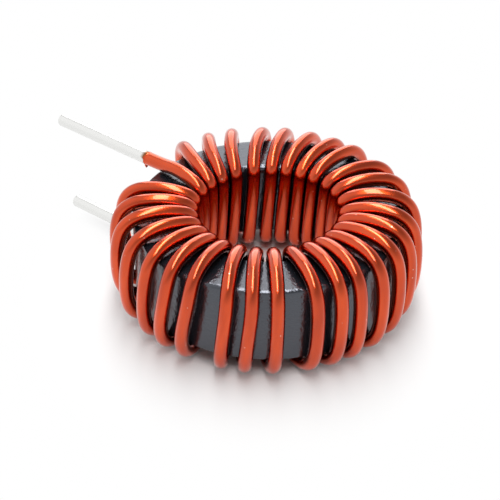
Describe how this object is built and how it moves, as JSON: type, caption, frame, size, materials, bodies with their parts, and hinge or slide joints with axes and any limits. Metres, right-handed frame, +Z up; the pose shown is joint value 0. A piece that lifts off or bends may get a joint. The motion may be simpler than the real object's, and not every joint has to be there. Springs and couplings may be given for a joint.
{
  "type": "toroidal inductor",
  "caption": "Toroidal inductor: one layer of enamelled copper wire wound on a coated powder ring, with two straight tinned leads out of one side.",
  "frame": {"origin": "on the ring's axis, in the plane that the winding stands on", "axes": "+Z up along the ring's axis, both leads leave along -X"},
  "size_m": [0.058, 0.0423, 0.0162],
  "materials": {
    "core_powder": "pressed and annealed alloy powder, matt",
    "core_epoxy": "sprayed epoxy, glossy with orange peel",
    "tinned_copper": "copper, bright tin on the stripped ends",
    "wire_enamel": "clear orange-red enamel over copper, glossy"
  },
  "bodies": {
    "root": {"powder_core": "core_powder", "core_coating": "core_epoxy", "copper_wire": "tinned_copper", "wire_enamel": "wire_enamel"}
  },
  "joints": []
}
